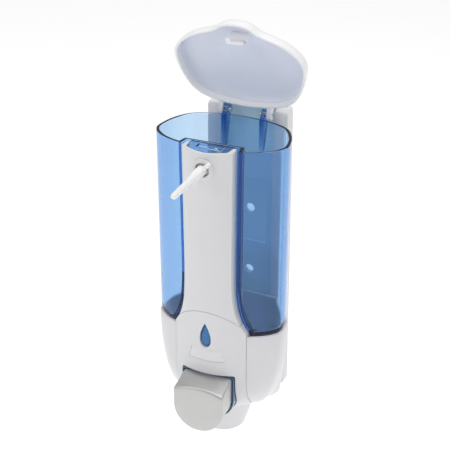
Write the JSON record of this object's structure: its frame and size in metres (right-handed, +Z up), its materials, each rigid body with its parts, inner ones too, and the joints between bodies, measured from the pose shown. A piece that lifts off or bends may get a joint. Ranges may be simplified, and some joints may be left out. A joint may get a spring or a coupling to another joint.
{
  "type": "wall mounted soap dispenser",
  "caption": "Wall mounted liquid soap dispenser: clear blue tank, white front strip and base, key locked hinged lid, push button piston pump and spout under the base.",
  "frame": {"origin": "middle of the back plate's wall face, on the plane of symmetry", "axes": "+Z up, +Y into the wall, so the front and the push button face -Y; +X to the right as seen from the front"},
  "size_m": [0.0904, 0.1262, 0.2841],
  "materials": {
    "white_abs": "smooth injection moulded ABS, low gloss",
    "lid_white": "smooth injection moulded ABS",
    "plate_white": "moulded ABS, satin",
    "blue_clear": "transparent blue polycarbonate or SAN, glossy",
    "deep_blue": "opaque deep blue plastic, glossy",
    "satin_silver": "silver lacquer on ABS, fine satin",
    "natural_plastic": "natural polypropylene",
    "black_rubber": "nitrile rubber",
    "clear_silicone": "milky silicone",
    "steel": "stainless steel",
    "key_white": "moulded plastic, off white"
  },
  "bodies": {
    "body": {"back_plate": "plate_white", "base_housing": "white_abs", "front_strip": "white_abs", "front_cover": "white_abs", "name_plate": "lid_white", "level_window": "blue_clear", "tank": "blue_clear", "button_bezel": "deep_blue", "pump_body": "natural_plastic", "pump_end_cap": "natural_plastic", "return_spring": "steel", "inlet_gasket": "black_rubber", "inlet_valve_seat": "natural_plastic", "outlet_spring": "steel", "nozzle_body": "natural_plastic", "nozzle_tip": "clear_silicone", "lid_hinge_pin_left": "steel", "lid_hinge_pin_right": "steel", "pump_screw_left": "steel", "pump_screw_right": "steel", "housing_screw_left": "steel", "housing_screw_right": "steel"},
    "lid": {"lid": "lid_white"},
    "button": {"push_button": "satin_silver", "piston_rod": "natural_plastic", "piston_seal": "black_rubber"},
    "lock": {"lock_barrel": "white_abs", "lock_clip": "steel", "latch_cam": "natural_plastic", "cam_screw": "steel"},
    "key": {"key": "key_white"},
    "inlet_ball": {"inlet_ball": "steel"},
    "outlet_ball": {"outlet_ball": "steel"}
  },
  "joints": [
    {"name": "lid_hinge", "type": "hinge", "parent": "body", "child": "lid", "pos_m": [0, -0.0123, 0.1005], "axis": [1, 0, 0], "range_deg": [-5, 73]},
    {"name": "button_push", "type": "slide", "parent": "body", "child": "button", "axis": [0, 1, 0], "range_m": [0, 0.008], "stiffness_N_per_m": 300, "springref_m": -0.008, "deforming": ["return_spring"]},
    {"name": "lock_turn", "type": "hinge", "parent": "body", "child": "lock", "pos_m": [0, -0.078, 0.0883], "axis": [0, 1, 0], "range_deg": [-45, 0]},
    {"name": "key_withdraw", "type": "slide", "parent": "lock", "child": "key", "axis": [0, -1, 0], "range_m": [0, 0.03]},
    {"name": "inlet_ball_lift", "type": "slide", "parent": "body", "child": "inlet_ball", "axis": [0, 0, 1], "range_m": [0, 0.0015]},
    {"name": "outlet_ball_drop", "type": "slide", "parent": "body", "child": "outlet_ball", "axis": [0, 0, -1], "range_m": [0, 0.0015], "stiffness_N_per_m": 20, "springref_m": -0.003, "deforming": ["outlet_spring"]}
  ]
}
